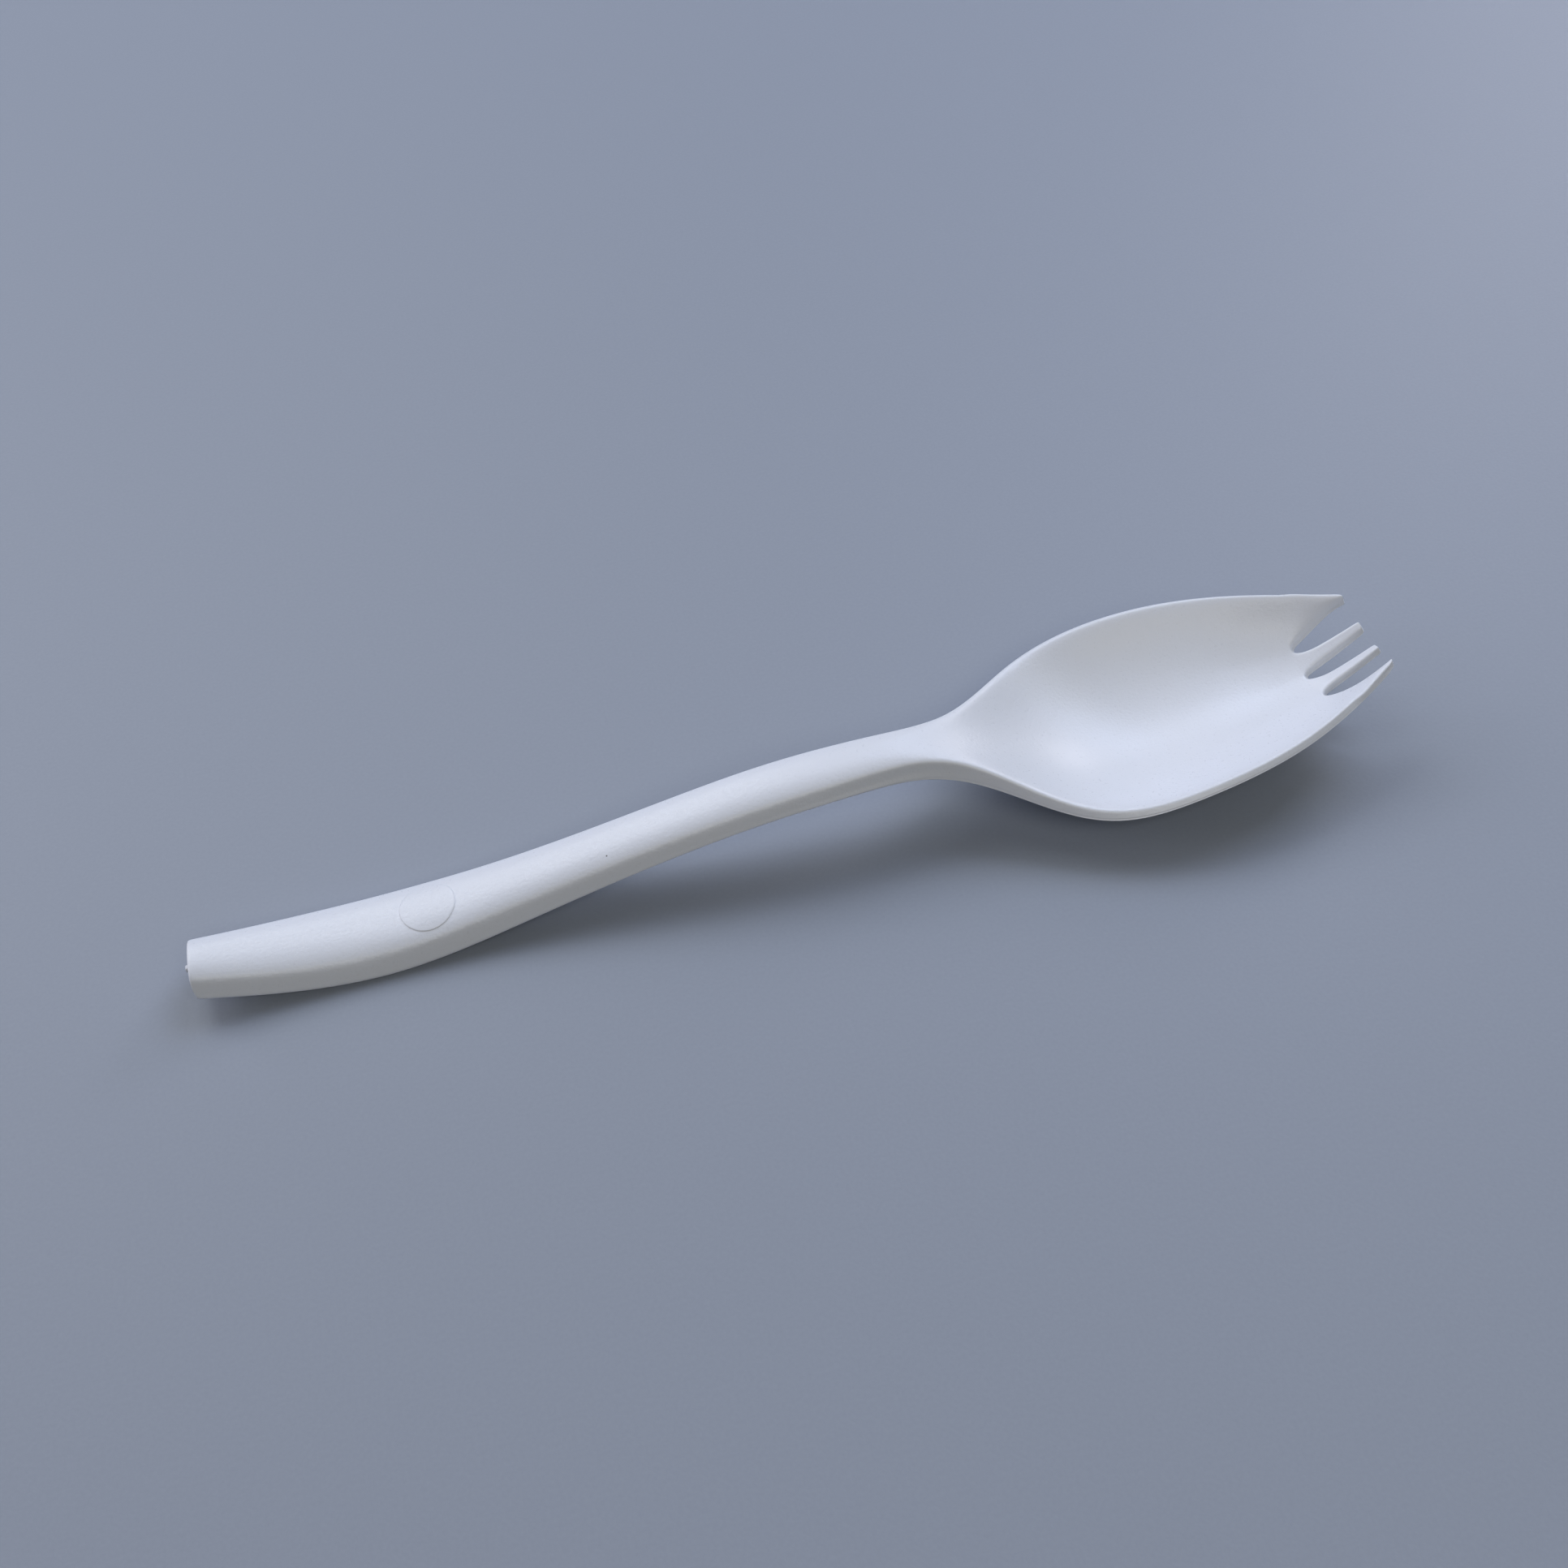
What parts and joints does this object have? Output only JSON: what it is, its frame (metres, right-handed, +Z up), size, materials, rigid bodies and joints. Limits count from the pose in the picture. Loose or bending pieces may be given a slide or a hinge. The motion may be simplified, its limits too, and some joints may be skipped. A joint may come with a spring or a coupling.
{
  "type": "spork",
  "caption": "One-piece moulded plastic spork with an oval bowl, short tapering tines and a crowned, double-bent handle that rests on the table.",
  "frame": {"origin": "centre of the bounding box's base, on the table at mid-length", "axes": "+X along the spork towards the tines, +Y across it, +Z up out of the bowl"},
  "size_m": [0.166, 0.0356, 0.0128],
  "materials": {
    "white_plastic": "satin off-white plastic with a fine mould grain"
  },
  "bodies": {
    "root": {"spork": "white_plastic"}
  },
  "joints": []
}
